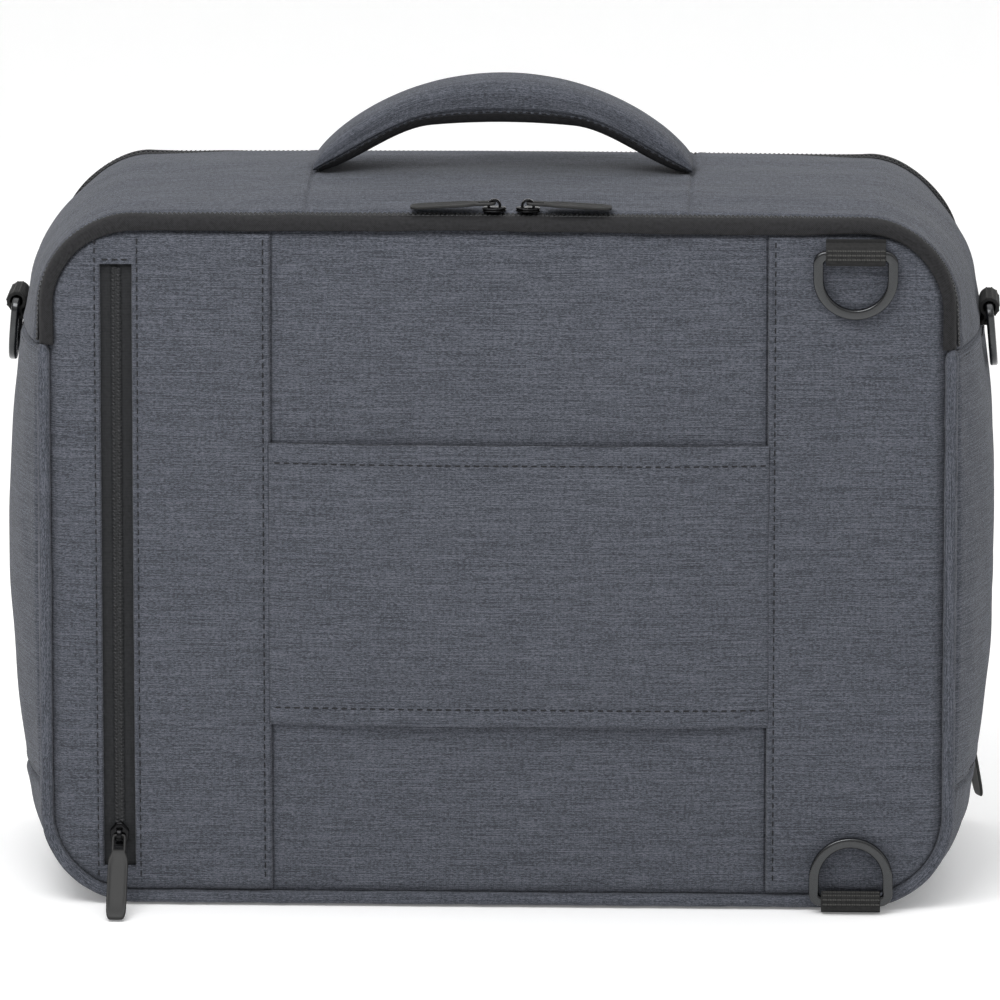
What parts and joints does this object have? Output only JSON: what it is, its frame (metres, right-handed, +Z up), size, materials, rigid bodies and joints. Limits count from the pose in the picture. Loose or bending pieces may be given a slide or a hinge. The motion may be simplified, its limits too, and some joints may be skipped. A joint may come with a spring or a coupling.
{
  "type": "convertible backpack",
  "caption": "Soft rectangular zipped case with a padded top handle, a trolley sleeve and a pocket zip on its back panel, and D-rings for a shoulder strap or backpack straps.",
  "frame": {"origin": "middle of the whole model's box in X and Y, at the height of the base it stands on", "axes": "+Z up, -Y out of the back panel with the trolley sleeve, X across the case"},
  "size_m": [0.4222, 0.2028, 0.3418],
  "materials": {
    "cloth": "matte melange weave",
    "padded_cloth": "matte melange weave over foam",
    "zip_tape": "matte dark twill",
    "webbing": "ribbed dark webbing",
    "ring_metal": "gunmetal, satin",
    "slider_metal": "black, glossy",
    "pull_rubber": "satin"
  },
  "bodies": {
    "bag": {"back_panel": "padded_cloth", "back_piping": "cloth", "base_gusset": "cloth", "front_panel": "padded_cloth", "front_piping": "cloth", "front_zip_slider": "slider_metal", "front_zip_tape": "zip_tape", "handle": "cloth", "left_side_gusset": "cloth", "left_side_webbing": "webbing", "lower_webbing": "webbing", "main_zip_left_slider": "slider_metal", "main_zip_right_slider": "slider_metal", "main_zip_tape": "zip_tape", "pocket_zip_coil": "zip_tape", "pocket_zip_slider": "slider_metal", "pocket_zip_tape": "zip_tape", "right_side_gusset": "cloth", "right_side_webbing": "webbing", "top_gusset": "cloth", "trolley_sleeve": "cloth", "upper_webbing": "webbing"},
    "upper_ring": {"upper_ring": "ring_metal"},
    "lower_ring": {"lower_ring": "ring_metal"},
    "right_side_ring": {"right_side_ring": "ring_metal"},
    "left_side_ring": {"left_side_ring": "ring_metal"},
    "pocket_zip_pull": {"pocket_zip_pull": "pull_rubber"},
    "main_zip_left_pull": {"main_zip_left_pull": "pull_rubber"},
    "main_zip_right_pull": {"main_zip_right_pull": "pull_rubber"},
    "front_zip_pull": {"front_zip_pull": "pull_rubber"}
  },
  "joints": [
    {"name": "upper_ring_hinge", "type": "hinge", "parent": "bag", "child": "upper_ring", "pos_m": [0.15, -0.07563, 0.2824], "axis": [-1, 0, 0], "range_deg": [0, 170]},
    {"name": "lower_ring_hinge", "type": "hinge", "parent": "bag", "child": "lower_ring", "pos_m": [0.1496, -0.07629, 0.0056], "axis": [1, 0, 0], "range_deg": [0, 90]},
    {"name": "right_side_ring_hinge", "type": "hinge", "parent": "bag", "child": "right_side_ring", "pos_m": [0.2068, 0.01119, 0.2465], "axis": [0, -1, 0], "range_deg": [0, 150]},
    {"name": "left_side_ring_hinge", "type": "hinge", "parent": "bag", "child": "left_side_ring", "pos_m": [-0.2068, 0.01119, 0.2465], "axis": [0, 1, 0], "range_deg": [0, 150]},
    {"name": "pocket_pull_hinge", "type": "hinge", "parent": "bag", "child": "pocket_zip_pull", "pos_m": [-0.1596, -0.07401, 0.031], "axis": [-1, 0, 0], "range_deg": [0, 110]},
    {"name": "main_left_pull_hinge", "type": "hinge", "parent": "bag", "child": "main_zip_left_pull", "pos_m": [-0.0013, -0.06201, 0.3016], "axis": [0, 1, 0], "range_deg": [0, 90]},
    {"name": "main_right_pull_hinge", "type": "hinge", "parent": "bag", "child": "main_zip_right_pull", "pos_m": [0.0128, -0.06201, 0.3016], "axis": [0, -1, 0], "range_deg": [0, 90]},
    {"name": "front_pull_hinge", "type": "hinge", "parent": "bag", "child": "front_zip_pull", "pos_m": [0.19736, 0.08671, 0.058], "axis": [0.4226, -0.9063, 0], "range_deg": [0, 110]}
  ]
}
